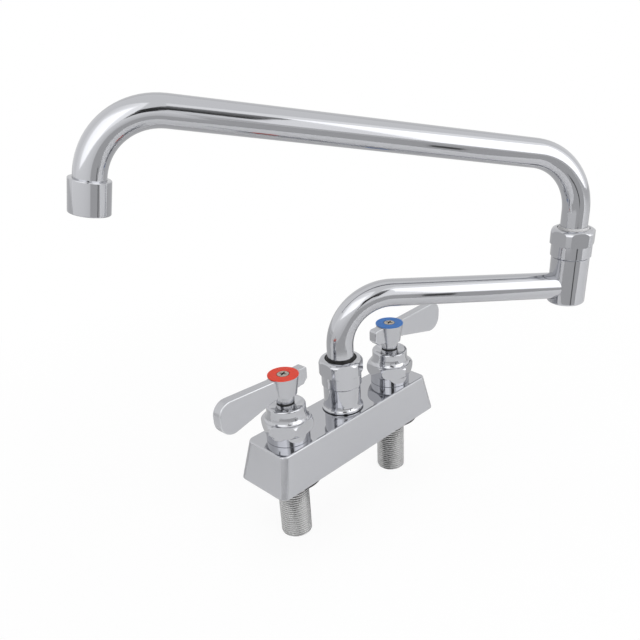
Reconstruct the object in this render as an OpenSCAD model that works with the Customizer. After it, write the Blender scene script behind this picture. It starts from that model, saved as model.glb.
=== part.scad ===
// Deck-mount faucet on 4 inch centres with a double-jointed swing spout.
// Millimetres, +Z up. The origin is on the deck, under the middle of the body.
// X runs from the hot valve to the cold valve and -Y is the front.

/* [Body] */
// Distance between the two valve axes
valve_spacing = 101.6; // [96:0.2:112]
// Length of the body at the deck
base_l = 154; // [150:1:170]
// Width of the body at the deck
base_w = 43.4; // [42:0.2:52]
// Length of the body's flat top
top_l = 143; // [138:1:150]
// Width of the body's flat top
top_w = 35.6; // [33:0.2:42]
// Height of the body
body_h = 27.5; // [26:0.5:34]
// Corner radius of the body in plan
body_corner_r = 5; // [3:0.5:8]
// Radius of the rounded edge round the top
body_edge_r = 1.2; // [0.6:0.2:2.5]
// Wall of the hollow casting
body_wall = 3; // [2.4:0.2:4]
// Diameter of the boss round each inlet, under the body
inlet_boss_d = 29; // [27:0.5:32]
// Diameter of the boss under the spout
spout_boss_d = 28; // [26:0.5:32]
// Width of the cast rib that holds the waterway
rib_w = 16; // [13:0.5:20]
// Diameter of the waterway from each valve to the spout
waterway_d = 7.2; // [6:0.2:7.4]
// Height of the waterway's axis over the deck
waterway_z = 19.4; // [19:0.2:20]

/* [Inlet shanks] */
// Outside diameter of the half inch straight pipe thread
shank_d = 20.9; // [20:0.1:21.4]
// Diameter of the smooth neck above the thread
shank_neck_d = 19.6; // [18.6:0.1:19.8]
// Bore of the shank
shank_bore_d = 12.6; // [10:0.2:14]
// Reach of the shank below the deck face
shank_l = 48; // [40:1:70]
// Length of the shank's tail inside the body
shank_tail = 7; // [5:0.5:8]
// Bevel at the mouth of the shank
shank_bevel = 0.8; // [0.4:0.1:1.5]
// Outside diameter of the rubber ring under the body
gasket_d = 40; // [34:0.5:42]
// Thickness of the rubber ring
gasket_t = 3; // [2:0.5:5]

/* [Bonnets] */
// Diameter of the round foot
bonnet_foot_d = 28.2; // [26:0.2:29]
// Height of the round foot over the body
bonnet_foot_h = 6.2; // [5:0.2:9]
// Width across the hexagon's flats
bonnet_af = 29.8; // [28.2:0.2:31]
// Diameter to which the hexagon's corners are turned
bonnet_turned_d = 34.2; // [33:0.2:35.4]
// Height of the bonnet's widest ring over the body
bonnet_wide_h = 12; // [11:0.2:13.5]
// Diameter of the neck
neck_d = 25.2; // [24:0.2:26.4]
// Height of the shoulder where the neck starts
neck_start_h = 21; // [20:0.2:22]
// Height of the bonnet over the body
bonnet_h = 24.6; // [24:0.1:26]
// Depth of the dish in the neck's top
dish_depth = 2.3; // [1.5:0.1:3]
// Rim left round the dish
dish_rim = 1.7; // [1.2:0.1:2.5]
// Angle at which the hot bonnet came to rest
hot_bonnet_turn = 6; // [0:1:59]
// Angle at which the cold bonnet came to rest
cold_bonnet_turn = 21; // [0:1:59]

/* [Cartridges] */
// Height of the seat in the body
seat_z = 9; // [8.5:0.5:10]
// Bore of the cartridge round its discs
disc_bore_d = 16.2; // [15.6:0.2:16.6]
// Wall of the cartridge round its discs
cartridge_wall = 1.4; // [1.2:0.1:1.5]
// Diameter of the cartridge's barrel inside the bonnet
barrel_d = 17; // [16:0.2:17.4]
// Thickness of the rubber seat washer
seat_washer_t = 2; // [1.6:0.1:2.2]
// Thickness of each ceramic disc
disc_t = 2.5; // [2:0.1:2.7]
// Diameter of the cartridge's flange
cartridge_flange_d = 21.8; // [21:0.2:23]
// Thickness of the cartridge's flange
cartridge_flange_t = 2; // [1.6:0.1:2.4]
// Diameter of the cartridge's neck
cartridge_neck_d = 12; // [11.6:0.2:13.6]
// Reach of the cartridge's neck past the bonnet
cartridge_neck_reach = 0.5; // [0.2:0.1:1.2]
// Diameter of the stem
stem_d = 9.2; // [9:0.1:9.6]
// Thickness of the ring seal in the stem's groove
stem_seal_t = 1.3; // [1:0.1:1.6]
// Width of the tang that turns the ceramic disc
tang_w = 3; // [2.4:0.1:4]
// Side of the square at the stem's top
stem_square = 6.4; // [5.6:0.1:6.6]

/* [Levers] */
// Height of the hub's underside over the body
hub_start_h = 31.8; // [31:0.1:34]
// Height of the hub
hub_h = 12.9; // [10.5:0.1:15]
// Diameter of the hub at its foot
hub_foot_d = 15.8; // [15:0.2:17]
// Diameter of the collar under the hub
hub_collar_d = 11.6; // [11.2:0.1:12]
// Diameter of the hub at its top
hub_top_d = 19.6; // [18:0.2:22]
// Reach of the blade from the stem's axis
lever_reach = 53; // [45:0.5:65]
// Thickness of the blade
blade_t = 6.4; // [5:0.2:7]
// Rise of the blade's top edge from the hub to the tip
blade_rise = 2.2; // [1:0.2:6]
// Drop of the blade's lower edge from the hub to the tip
blade_drop = 7.6; // [4:0.2:7.6]
// Radius of the blade's upper tip corner
tip_upper_r = 8.5; // [4:0.5:10]
// Radius of the blade's lower tip corner
tip_lower_r = 9.5; // [5:0.5:11]
// Reach of the short tail behind the hub
tail_reach = 17.5; // [13:0.5:19]
// Angle by which each closed lever stands forward of the body's line
lever_toe = 2; // [0:1:8]
// Thickness of the coloured index ring
index_t = 0.5; // [0.4:0.1:2]
// Hole in the index ring round the screw's head
index_hole_d = 8.2; // [7.2:0.1:9]
// Diameter of the screw's head
screw_head_d = 7.8; // [6:0.1:8]
// Diameter of the screw's thread
screw_d = 3.9; // [3:0.1:4.2]

/* [Swivels] */
// Outside diameter of the spout tube
tube_d = 18; // [17:0.1:18.4]
// Wall of the spout tube
tube_wall = 1; // [0.8:0.1:1.5]
// Width across the swivel nut's flats
nut_af = 27.6; // [27:0.1:28.6]
// Diameter to which the nut's corners are turned
nut_turned_d = 30; // [29:0.1:31]
// Height of the nut's round skirt
skirt_h = 8.6; // [7.5:0.1:10]
// Diameter of the nut's round skirt
skirt_d = 27.2; // [26.4:0.1:27.4]
// Height of the nut's hexagon, up to its shoulder
hex_h = 7.6; // [7:0.1:10.5]
// Height of the nut's rounded shoulder
shoulder_h = 3; // [2.4:0.1:3.6]
// Diameter of the sleeve under each nut
sleeve_d = 25.4; // [25:0.1:26.2]
// Diameter of the thread inside each nut
spigot_d = 23.4; // [23:0.1:23.8]
// Height of that thread
spigot_h = 11.4; // [10:0.1:12.4]
// Bore in which the spout's foot turns
socket_bore_d = 20.6; // [20.2:0.1:20.8]
// Depth of that bore below the nut
socket_depth = 8; // [7:0.5:10]
// Thickness of the flange that the nut holds down
foot_flange_t = 2.6; // [2:0.1:3]
// Thickness of the nut's lip over the flange
lip_t = 2.4; // [2:0.1:2.8]
// Diameter of the black ring in the nut's top
wear_ring_d = 21.6; // [21:0.1:22.4]
// Thickness of the ring seal on each foot
foot_seal_t = 1.9; // [1.6:0.1:2.1]
// Angle at which the nut on the column came to rest
base_nut_turn = 27; // [0:1:59]
// Angle at which the nut on the spout joint came to rest
joint_nut_turn = 17; // [0:1:59]

/* [Spout] */
// Height of the column over the body, up to the nut
column_h = 17.9; // [16:0.1:30]
// Diameter of the column's flared foot
flare_d = 28.6; // [28:0.2:31]
// Height of the flare
flare_h = 5; // [3:0.2:8]
// Direction of the lower tube, from +X towards +Y
lower_azimuth = -33.5; // [-60:0.5:0]
// Reach of the lower tube, from the column's axis to the spout joint's axis
lower_reach = 163.5; // [120:0.5:200]
// Bend radius of the lower tube
lower_bend_r = 33.4; // [30:0.2:45]
// Rise of the lower tube's bend over the nut
lower_bend_rise = 8.4; // [3:0.2:30]
// Slope of the lower tube, down towards the joint
lower_fall = 4.4; // [0:0.2:8]
// Depth of the joint's housing below the lower tube
housing_below = 2.4; // [1.2:0.1:4]
// Height of the joint's housing
housing_h = 32.8; // [30.5:0.1:45]
// Diameter of the joint's housing
housing_d = 25.6; // [25.2:0.1:26.4]
// Direction of the upper tube, from +X towards +Y
upper_azimuth = 146.5; // [90:0.5:200]
// Reach of the upper tube, from the joint's axis to the outlet
upper_reach = 297; // [200:1:360]
// Bend radius of the upper tube at the joint
upper_bend_r = 40; // [32:0.5:50]
// Rise of the upper tube's bend over the nut
upper_bend_rise = 11; // [4:0.5:40]
// Slope of the upper tube, up towards the outlet
upper_climb = 9.5; // [0:0.5:15]
// Bend radius at the outlet
outlet_bend_r = 40; // [32:0.5:45]
// Angle by which the outlet leans outwards
outlet_lean = 12; // [0:0.5:16]

/* [Aerator] */
// Straight tube between the bend and the aerator
outlet_leg = 0.6; // [0.2:0.2:20]
// Outside diameter of the aerator
aerator_d = 23; // [22:0.2:26]
// Length of the aerator
aerator_l = 18.8; // [14:0.2:22]
// Length of the tube inside the aerator
aerator_grip = 6; // [4:0.5:8]
// Bore of the aerator below the tube
aerator_bore_d = 20; // [19.4:0.2:20.6]
// Width of the lip that holds the screen
aerator_lip = 1; // [0.8:0.1:1.4]
// Number of jets in each ring of the insert
jet_count = 12; // [8:1:14]

/* [Hidden] */
// Faces of a full circle, for rounded shapes and for small ones
$fn = 96;
fine = 48;
hull_fn = 32;
// Radial clearance where something turns, and between still pieces
run_gap = 0.05;
seat_gap = 0.05;
// Play between flat faces that slide on each other
slide_gap = 0.1;
// Extra length of a cut past the face that it opens
cut = 1;
// Lap of straight and bent lengths of one tube, and the bent ones' smaller wall
bend_lap = 0.5;
bend_shave = 0.02;

valve_x = valve_spacing / 2;
tube_r = tube_d / 2;
tube_bore_r = tube_r - tube_wall;
shank_neck_r = shank_neck_d / 2;

// The stack of each cartridge, from its seat up
washer_top = seat_z + seat_washer_t;
fixed_disc_top = washer_top + disc_t;
turning_disc_z = fixed_disc_top + slide_gap;
turning_disc_top = turning_disc_z + disc_t;
tang_h = 1.1;
stem_foot_t = 1.6;
stem_foot_z = turning_disc_top + slide_gap / 2;
stem_foot_top = stem_foot_z + stem_foot_t;
bonnet_thread_h = 2.4;
cartridge_flange_top = body_h - bonnet_thread_h;
cartridge_flange_z = cartridge_flange_top - cartridge_flange_t;
cartridge_r = disc_bore_d / 2 + cartridge_wall;
chamber_r = cartridge_r + seat_gap;
bonnet_thread_r = cartridge_flange_d / 2;
bonnet_roof_t = 2.4;
barrel_top = body_h + bonnet_h - dish_depth - bonnet_roof_t;
neck_top = body_h + bonnet_h + cartridge_neck_reach;
stem_bore_r = stem_d / 2 + run_gap;
stem_seal_z = barrel_top - 6.6;
seat_port_r = shank_bore_d / 2 - 1;
disc_r = disc_bore_d / 2 - seat_gap;
// The two windows of a disc, as an angle and a band of radius
port_angle = 80;
port_r = 2.4;
port_band = 3.4;

// The bell: height of its widest band, its dome's share of the shoulder, its edges and its dish
bell_band = 0.6;
dome_share = 0.36;
bell_edge_r = 1;
foot_edge = 0.3;
dish_slope = 4.4;

// The levers, from the deck up
hub_z = body_h + hub_start_h;
wiper_t = 1.2;
wiper_w = 1.1;
collar_z = neck_top + wiper_t + 2 * slide_gap;
hub_top = hub_z + hub_h;
blade_lift = 1;
blade_start = hub_z + blade_lift;
index_spigot_r = hub_top_d / 2 - 3.4;
index_spigot_t = 1;
index_edge_r = 0.3;
screw_seat = hub_top - index_spigot_t;
hub_web = 3.4;
square_top = screw_seat - hub_web - slide_gap;
square_z = hub_z + 1.6;
// The screw below the hub's web and over the index ring, its head's edge and its cross slot
screw_reach = 8;
screw_proud = 0.2;
screw_edge_r = 0.6;
slot_l = 5;
slot_w = 1;
slot_depth = 1.1;
slot_turn = 20;
// The lever's tail: its step below the hub, its rounded top corner, then its lower bevel
tail_step = 0.2;
tail_r = 2;
tail_bevel_start = 4.6;
tail_bevel_end = 1.2;
tail_bevel = 3.4;

// The swivels, counted from the underside of each nut
flange_z = spigot_h + slide_gap;
flange_top = flange_z + foot_flange_t;
lip_z = flange_top + slide_gap;
lip_top = lip_z + lip_t;
nut_h = skirt_h + hex_h + shoulder_h;
foot_r = socket_bore_d / 2 - run_gap;
foot_wall = 1.4;
foot_clear = 1.1;
foot_bore_r = tube_bore_r - foot_wall;
foot_start = foot_clear - socket_depth;
flange_play = 0.6;
flange_r = spigot_d / 2 - flange_play;
nut_bore_r = spigot_d / 2 + seat_gap;
nut_edge_r = 0.6;
wear_ring_dome = 1.4;
foot_seal_z = 4.3;
foot_groove_r = foot_r - foot_seal_t;
foot_spigot_h = 5;
// Play beside a ring seal in its groove, and the seal's stand off the groove's floor
groove_play = 0.4;
groove_fit = 0.02;
// Play round a part that passes through a loose hole
loose_gap = 0.3;

// The heights at which the two nuts sit
base_nut_z = body_h + column_h;
lower_bend_z = base_nut_z + nut_h + lower_bend_rise;
lower_end_x = lower_bend_r * (1 + sin(lower_fall));
lower_end_z = lower_bend_z + lower_bend_r * cos(lower_fall);
lower_joint_z = lower_end_z - (lower_reach - lower_end_x) * tan(lower_fall);
housing_z = lower_joint_z - tube_r / cos(lower_fall) - housing_below;
housing_floor = 2.4;
housing_edge_r = 1.4;
joint_nut_z = housing_z + housing_h;
joint_bore_bottom = housing_z + housing_floor;
upper_bend_z = joint_nut_z + nut_h + upper_bend_rise;
joint_x = lower_reach * cos(lower_azimuth);
joint_y = lower_reach * sin(lower_azimuth);

// The upper tube, in the plane that it lies in
upper_end_x = upper_bend_r * (1 - sin(upper_climb));
upper_end_z = upper_bend_z + upper_bend_r * cos(upper_climb);
outlet_bend_x = upper_reach - outlet_bend_r * (sin(upper_climb) + cos(outlet_lean))
    - outlet_leg * sin(outlet_lean);
outlet_bend_z = upper_end_z + (outlet_bend_x - upper_end_x) * tan(upper_climb);
outlet_centre_x = outlet_bend_x + outlet_bend_r * sin(upper_climb);
outlet_centre_z = outlet_bend_z - outlet_bend_r * cos(upper_climb);
outlet_z = outlet_centre_z + outlet_bend_r * sin(outlet_lean) - outlet_leg * cos(outlet_lean);

// The spout socket's tail in the body
socket_tail_h = 11;
socket_tail_r = 10;
socket_port_r = 6.6;
socket_well = 3;
flare_foot_h = 1.2;
// The groove that shows as a dark line where the flare stands on the body
seam_h = 0.6;
seam_depth = 1.8;

// The aerator, counted down from its top
aerator_r = aerator_d / 2;
aerator_bore_r = aerator_bore_d / 2;
aerator_lip_h = 1.2;
aerator_edge_r = 0.5;
aerator_washer_t = 1.6;
aerator_washer_r = 7;
screen_t = 0.8;
screen_rim = 1.6;
screen_pitch = 2.4;
screen_hole = 1.8;
insert_z = -aerator_l + aerator_lip_h + screen_t;
insert_h = aerator_l - aerator_lip_h - screen_t - aerator_grip - aerator_washer_t;
insert_plate_t = 2;
insert_wall = 1.4;
jet_fn = 16;
outer_jet_r = 6;
outer_jet_d = 1.2;
inner_jet_r = 3.4;
inner_jet_d = 1;

// Points along an arc, from one angle to another
function arc(x, y, r, from, to, steps = 10) =
    [for (i = [0:steps]) let (a = from + (to - from) * i / steps) [x + r * cos(a), y + r * sin(a)]];

// Radius of a hexagonal bar's corners, from the width across its flats
function corner_r(af) = af / 2 / cos(30);

module at_hot() { translate([-valve_x, 0, 0]) children(); }
module at_cold() { translate([valve_x, 0, 0]) children(); }
module at_base_nut() { translate([0, 0, base_nut_z]) children(); }
module at_joint() { translate([joint_x, joint_y, 0]) children(); }
module at_joint_nut() { at_joint() translate([0, 0, joint_nut_z]) children(); }
module at_lower_tube() { rotate([0, 0, lower_azimuth]) children(); }
module at_upper_tube() { at_joint() rotate([0, 0, upper_azimuth]) children(); }
module at_outlet() {
    at_upper_tube() translate([upper_reach, 0, outlet_z]) rotate([0, -outlet_lean, 0]) children();
}

module ring(r_out, r_in, z, h) {
    translate([0, 0, z]) difference() {
        cylinder(r = r_out, h = h);
        translate([0, 0, -cut]) cylinder(r = r_in, h = h + 2 * cut);
    }
}

module o_ring(r_in, t, z) {
    translate([0, 0, z]) rotate_extrude() translate([r_in + t / 2, 0]) circle(d = t, $fn = fine);
}

// Body

// A block with sloping sides and rounded corners; inset leaves a wall inside it
module tapered_block(inset, h) {
    corner = max(body_corner_r - inset, 1);
    hull() {
        for (x = [-1, 1], y = [-1, 1]) {
            translate([x * (base_l / 2 - inset - corner), y * (base_w / 2 - inset - corner), 0])
                cylinder(r = corner, h = 0.5, $fn = hull_fn);
            translate([x * (top_l / 2 - inset - corner), y * (top_w / 2 - inset - corner), h])
                rounded_disc(corner);
        }
    }
}

// A disc below z = 0 whose upper edge is rounded
module rounded_disc(r) {
    rotate_extrude($fn = hull_fn) polygon(concat(
        [[0, -body_edge_r], [r, -body_edge_r]],
        arc(r - body_edge_r, -body_edge_r, body_edge_r, 0, 90, 4),
        [[0, 0]]));
}

module deck_body() {
    color("silver") difference() {
        union() {
            difference() {
                tapered_block(0, body_h);
                translate([0, 0, -cut]) tapered_block(body_wall, body_h - body_wall + cut);
            }
            for (side = [-1, 1])
                translate([side * valve_x, 0, 0]) cylinder(d = inlet_boss_d, h = body_h - body_wall / 2);
            cylinder(d = spout_boss_d, h = body_h - body_wall / 2);
            translate([-valve_x, -rib_w / 2, body_h - body_wall - rib_w / 2 - waterway_d / 2])
                cube([valve_spacing, rib_w, rib_w / 2 + waterway_d / 2 + body_wall / 2]);
        }
        for (side = [-1, 1]) translate([side * valve_x, 0, 0]) valve_chamber();
        socket_seat();
        translate([-valve_x, 0, waterway_z]) rotate([0, 90, 0])
            cylinder(d = waterway_d, h = valve_spacing);
    }
}

// The stepped hole for one valve: shank below, seat, discs, then the bonnet's thread
module valve_chamber() {
    translate([0, 0, -cut]) cylinder(r = shank_neck_r + seat_gap, h = shank_tail + seat_gap + cut);
    cylinder(r = seat_port_r, h = body_h);
    translate([0, 0, seat_z]) cylinder(r = chamber_r, h = body_h);
    translate([0, 0, cartridge_flange_z]) cylinder(r = bonnet_thread_r + seat_gap, h = body_h);
}

// The hole that takes the spout socket's tail, with a well below it that both waterways meet
module socket_seat() {
    translate([0, 0, body_h - socket_tail_h - seat_gap])
        cylinder(r = socket_tail_r + seat_gap, h = socket_tail_h + cut);
    translate([0, 0, body_h - socket_tail_h - socket_well]) cylinder(r = socket_port_r, h = socket_tail_h);
}

// Inlets

module shank() {
    color("darkgray") difference() {
        union() {
            translate([0, 0, -gasket_t]) cylinder(r = shank_neck_r, h = gasket_t + shank_tail);
            translate([0, 0, -shank_l + shank_bevel])
                cylinder(d = shank_d, h = shank_l - shank_bevel - gasket_t);
            translate([0, 0, -shank_l])
                cylinder(r1 = shank_d / 2 - shank_bevel, r2 = shank_d / 2, h = shank_bevel);
        }
        translate([0, 0, -shank_l - cut]) cylinder(d = shank_bore_d, h = shank_l + shank_tail + 2 * cut);
    }
}

module gasket() {
    color("#1c1c1c") ring(gasket_d / 2, shank_neck_r + seat_gap, -gasket_t, gasket_t);
}

// Bonnets

// Half outline of the bell: foot, swell up to the widest band, shoulder, neck and dish
module bell_outline() {
    foot_r = bonnet_foot_d / 2;
    wide_r = bonnet_turned_d / 2;
    neck_r = neck_d / 2;
    swell_h = bonnet_wide_h - bell_band - bonnet_foot_h;
    dome_h = (neck_start_h - bonnet_wide_h) * dome_share;
    dome_in = (wide_r - neck_r) / 2;
    cove_h = neck_start_h - bonnet_wide_h - dome_h;
    cove_in = wide_r - neck_r - dome_in;
    polygon(concat(
        [[0, 0], [foot_r - foot_edge, 0], [foot_r, foot_edge]],
        [for (a = [0:15:90])
            [foot_r + (wide_r - foot_r) * sin(a), bonnet_foot_h + swell_h * (1 - cos(a))]],
        [for (a = [0:9:90])
            [wide_r - dome_in * (1 - cos(a)), bonnet_wide_h + dome_h * sin(a)]],
        [for (a = [9:9:90])
            [neck_r + cove_in * (1 - sin(a)), neck_start_h - cove_h * cos(a)]],
        arc(neck_r - bell_edge_r, bonnet_h - bell_edge_r, bell_edge_r, 0, 90, 4),
        [[neck_r - dish_rim, bonnet_h], [neck_r - dish_rim - dish_slope, bonnet_h - dish_depth],
         [0, bonnet_h - dish_depth]]));
}

module bonnet(turn) {
    color("silver") difference() {
        union() {
            translate([0, 0, body_h]) intersection() {
                rotate_extrude() bell_outline();
                union() {
                    cylinder(d = bonnet_foot_d, h = bonnet_foot_h);
                    translate([0, 0, bonnet_foot_h]) rotate([0, 0, turn])
                        cylinder(r = corner_r(bonnet_af), h = bonnet_h, $fn = 6);
                }
            }
            translate([0, 0, cartridge_flange_top])
                cylinder(r = bonnet_thread_r, h = body_h - cartridge_flange_top);
        }
        translate([0, 0, cartridge_flange_top - cut])
            cylinder(d = barrel_d + 2 * seat_gap,
                h = barrel_top + seat_gap - cartridge_flange_top + cut);
        translate([0, 0, body_h]) cylinder(r = cartridge_neck_d / 2 + loose_gap, h = bonnet_h);
    }
}

// Cartridges

module cartridge(side) {
    color("goldenrod") difference() {
        union() {
            translate([0, 0, seat_z]) cylinder(r = cartridge_r, h = cartridge_flange_z - seat_z);
            translate([0, 0, cartridge_flange_z])
                cylinder(d = cartridge_flange_d, h = cartridge_flange_t);
            translate([0, 0, cartridge_flange_z])
                cylinder(d = barrel_d, h = barrel_top - cartridge_flange_z);
            translate([0, 0, cartridge_flange_z])
                cylinder(d = cartridge_neck_d, h = neck_top - cartridge_flange_z);
        }
        cylinder(d = disc_bore_d, h = cartridge_flange_z);
        cylinder(r = stem_bore_r, h = neck_top + cut);
        translate([0, 0, waterway_z]) rotate([0, -side * 90, 0])
            cylinder(d = waterway_d, h = cartridge_r + cut);
    }
}

// A ceramic disc with two opposite windows, turned by an angle
module disc(z, turn) {
    translate([0, 0, z]) rotate([0, 0, turn]) difference() {
        cylinder(r = disc_r, h = disc_t);
        for (a = [0, 180]) rotate([0, 0, a - port_angle / 2]) translate([0, 0, -cut])
            rotate_extrude(angle = port_angle) translate([port_r, 0]) square([port_band, disc_t + 2 * cut]);
    }
}

module fixed_disc() { color("white") disc(washer_top, 90); }

module turning_disc() {
    color("gainsboro") difference() {
        disc(turning_disc_z, 0);
        translate([-disc_r - cut, -tang_w / 2 - run_gap, turning_disc_top - tang_h - run_gap])
            cube([2 * (disc_r + cut), tang_w + 2 * run_gap, tang_h + cut]);
    }
}

module seat_washer() { color("#202020") ring(disc_r, seat_port_r, seat_z, seat_washer_t); }

module stem() {
    color("goldenrod") difference() {
        union() {
            translate([-disc_r + 1, -tang_w / 2, turning_disc_top - tang_h])
                cube([2 * disc_r - 2, tang_w, tang_h + stem_foot_t]);
            translate([0, 0, stem_foot_z]) cylinder(r = disc_r, h = stem_foot_t);
            translate([0, 0, stem_foot_z]) cylinder(d = stem_d, h = square_z - stem_foot_z);
            translate([-stem_square / 2, -stem_square / 2, stem_foot_top])
                cube([stem_square, stem_square, square_top - stem_foot_top]);
        }
        ring(stem_d, stem_d / 2 - stem_seal_t, stem_seal_z, stem_seal_t + groove_play);
        translate([0, 0, screw_seat - hub_web - screw_reach - cut])
            cylinder(d = screw_d + 2 * seat_gap, h = hub_h, $fn = fine);
    }
}

// The ring seal inside the cartridge and the wiper that shows on top of its neck
module stem_seals() {
    color("#1c1c1c") {
        o_ring(stem_d / 2 - stem_seal_t + groove_fit, stem_seal_t,
            stem_seal_z + (stem_seal_t + groove_play) / 2);
        ring(stem_d / 2 + groove_fit + wiper_w, stem_d / 2 + groove_fit, neck_top + slide_gap, wiper_t);
    }
}

// Levers

// Side view of the blade, the hub's web and the tail, with x along the blade
module lever_outline() {
    blade_top = hub_top + blade_rise;
    blade_low = blade_start - blade_drop;
    tail_top = hub_top - tail_step;
    lower_slope = atan(blade_drop / (lever_reach - tip_lower_r - hub_foot_d / 2));
    upper_slope = atan(blade_rise / (lever_reach - tip_upper_r - hub_top_d / 2));
    polygon(concat(
        [[0, blade_start], [hub_foot_d / 2, blade_start]],
        arc(lever_reach - tip_lower_r, blade_low + tip_lower_r, tip_lower_r, -90 - lower_slope, 0, 12),
        arc(lever_reach - tip_upper_r, blade_top - tip_upper_r, tip_upper_r, 0, 90 + upper_slope, 12),
        [[hub_top_d / 2 + slide_gap, hub_top], [hub_top_d / 2, tail_top], [0, tail_top]],
        arc(tail_r - tail_reach, tail_top - tail_r, tail_r, 90, 180, 6),
        [[-tail_reach, hub_z + tail_bevel_start], [tail_bevel - tail_reach, hub_z + tail_bevel_end],
         [-hub_foot_d / 2, blade_start]]));
}

module lever() {
    color("#b9bcc2") difference() {
        union() {
            translate([0, 0, hub_z]) cylinder(d1 = hub_foot_d, d2 = hub_top_d, h = hub_h);
            translate([0, 0, collar_z]) cylinder(d = hub_collar_d, h = hub_z - collar_z + cut);
            translate([0, blade_t / 2, 0]) rotate([90, 0, 0]) linear_extrude(blade_t) lever_outline();
        }
        translate([0, 0, collar_z - cut])
            cylinder(r = stem_d / 2 + loose_gap, h = square_z - collar_z + cut);
        translate([-stem_square / 2 - seat_gap, -stem_square / 2 - seat_gap, hub_z])
            cube([stem_square + 2 * seat_gap, stem_square + 2 * seat_gap, screw_seat - hub_web - hub_z]);
        translate([0, 0, hub_z]) cylinder(d = screw_d + loose_gap, h = hub_h, $fn = fine);
        translate([0, 0, screw_seat]) cylinder(r = index_spigot_r + seat_gap, h = index_spigot_t + cut);
    }
}

module index_ring(shade) {
    color(shade) difference() {
        union() {
            translate([0, 0, screw_seat]) cylinder(r = index_spigot_r, h = index_spigot_t);
            translate([0, 0, hub_top]) rotate_extrude() polygon(concat(
                [[0, 0], [hub_top_d / 2, 0]],
                arc(hub_top_d / 2 - index_edge_r, index_t - index_edge_r, index_edge_r, 0, 90, 4),
                [[0, index_t]]));
        }
        translate([0, 0, screw_seat - cut]) cylinder(d = index_hole_d, h = hub_h);
    }
}

module screw() {
    head_h = index_spigot_t + index_t + screw_proud;
    color("lightgray") difference() {
        translate([0, 0, screw_seat]) union() {
            rotate_extrude($fn = fine) polygon(concat(
                [[0, 0], [screw_head_d / 2, 0]],
                arc(screw_head_d / 2 - screw_edge_r, head_h - screw_edge_r, screw_edge_r, 0, 90, 4),
                [[0, head_h]]));
            translate([0, 0, -hub_web - screw_reach])
                cylinder(d = screw_d, h = hub_web + screw_reach, $fn = fine);
        }
        for (a = [0, 90]) translate([0, 0, screw_seat + head_h - slot_depth]) rotate([0, 0, a + slot_turn])
            translate([-slot_l / 2, -slot_w / 2, 0]) cube([slot_l, slot_w, slot_depth + cut]);
    }
}

module hot_side() { at_hot() rotate([0, 0, 180 + lever_toe]) children(); }
module cold_side() { at_cold() rotate([0, 0, -lever_toe]) children(); }

// Swivels, each counted from the underside of its nut

module swivel_nut(turn) {
    turned_r = nut_turned_d / 2;
    mouth_r = wear_ring_d / 2 + nut_edge_r;
    color("silver") difference() {
        union() {
            rotate_extrude() polygon([[0, 0], [skirt_d / 2 - nut_edge_r, 0], [skirt_d / 2, nut_edge_r],
                [skirt_d / 2, skirt_h], [0, skirt_h]]);
            translate([0, 0, skirt_h]) intersection() {
                rotate_extrude() polygon(concat(
                    [[0, 0], [turned_r - nut_edge_r, 0], [turned_r, nut_edge_r], [turned_r, hex_h]],
                    [for (a = [10:10:90])
                        [mouth_r + (turned_r - mouth_r) * cos(a), hex_h + shoulder_h * sin(a)]],
                    [[0, hex_h + shoulder_h]]));
                rotate([0, 0, turn]) cylinder(r = corner_r(nut_af), h = nut_h, $fn = 6);
            }
        }
        translate([0, 0, -cut]) cylinder(r = nut_bore_r, h = lip_z + cut);
        cylinder(r = tube_r + loose_gap, h = nut_h + cut);
        translate([0, 0, lip_top]) cylinder(d = wear_ring_d + 2 * seat_gap, h = nut_h);
    }
}

// A black ring in the nut's mouth, domed where it shows
module wear_ring() {
    r_out = wear_ring_d / 2;
    r_in = tube_r + run_gap;
    color("#151515") rotate_extrude() polygon([
        [r_in, lip_top], [r_out, lip_top], [r_out, nut_h - nut_edge_r], [r_out - nut_edge_r, nut_h],
        [r_in + nut_edge_r, nut_h + wear_ring_dome], [r_in, nut_h + wear_ring_dome]]);
}

// The turned foot of a spout tube: barrel with a seal groove, flange and inner spigot
module swivel_foot() {
    color("goldenrod") difference() {
        union() {
            translate([0, 0, foot_start]) cylinder(r = foot_r, h = flange_z - foot_start);
            translate([0, 0, flange_z]) cylinder(r = flange_r, h = foot_flange_t);
            translate([0, 0, flange_top]) cylinder(r = tube_bore_r - groove_fit, h = foot_spigot_h);
        }
        translate([0, 0, foot_start - cut])
            cylinder(r = foot_bore_r, h = flange_top - foot_start + foot_spigot_h + 2 * cut);
        ring(foot_r + cut, foot_groove_r, foot_seal_z, foot_seal_t + groove_play);
    }
}

module swivel_seal() {
    color("#1c1c1c") o_ring(foot_groove_r + groove_fit, foot_seal_t - groove_fit,
        foot_seal_z + (foot_seal_t + groove_play) / 2);
}

// Spout

module spout_socket() {
    sleeve_r = sleeve_d / 2;
    flare_r = flare_d / 2;
    color("silver") difference() {
        union() {
            translate([0, 0, body_h]) rotate_extrude() polygon(concat(
                [[0, 0], [flare_r - seam_depth, 0], [flare_r - seam_depth, seam_h],
                 [flare_r, seam_h], [flare_r, flare_foot_h]],
                [for (a = [15:15:90]) [sleeve_r + (flare_r - sleeve_r) * (1 - sin(a)),
                    flare_foot_h + (flare_h - flare_foot_h) * (1 - cos(a))]],
                [[sleeve_r, column_h - nut_edge_r], [sleeve_r - nut_edge_r, column_h], [0, column_h]]));
            translate([0, 0, base_nut_z - cut]) cylinder(d = spigot_d, h = spigot_h + cut);
            translate([0, 0, body_h - socket_tail_h]) cylinder(r = socket_tail_r, h = socket_tail_h + cut);
        }
        translate([0, 0, base_nut_z - socket_depth])
            cylinder(d = socket_bore_d, h = socket_depth + spigot_h + cut);
        translate([0, 0, body_h - socket_tail_h - cut])
            cylinder(r = socket_port_r, h = base_nut_z - body_h + socket_tail_h);
    }
}

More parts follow.
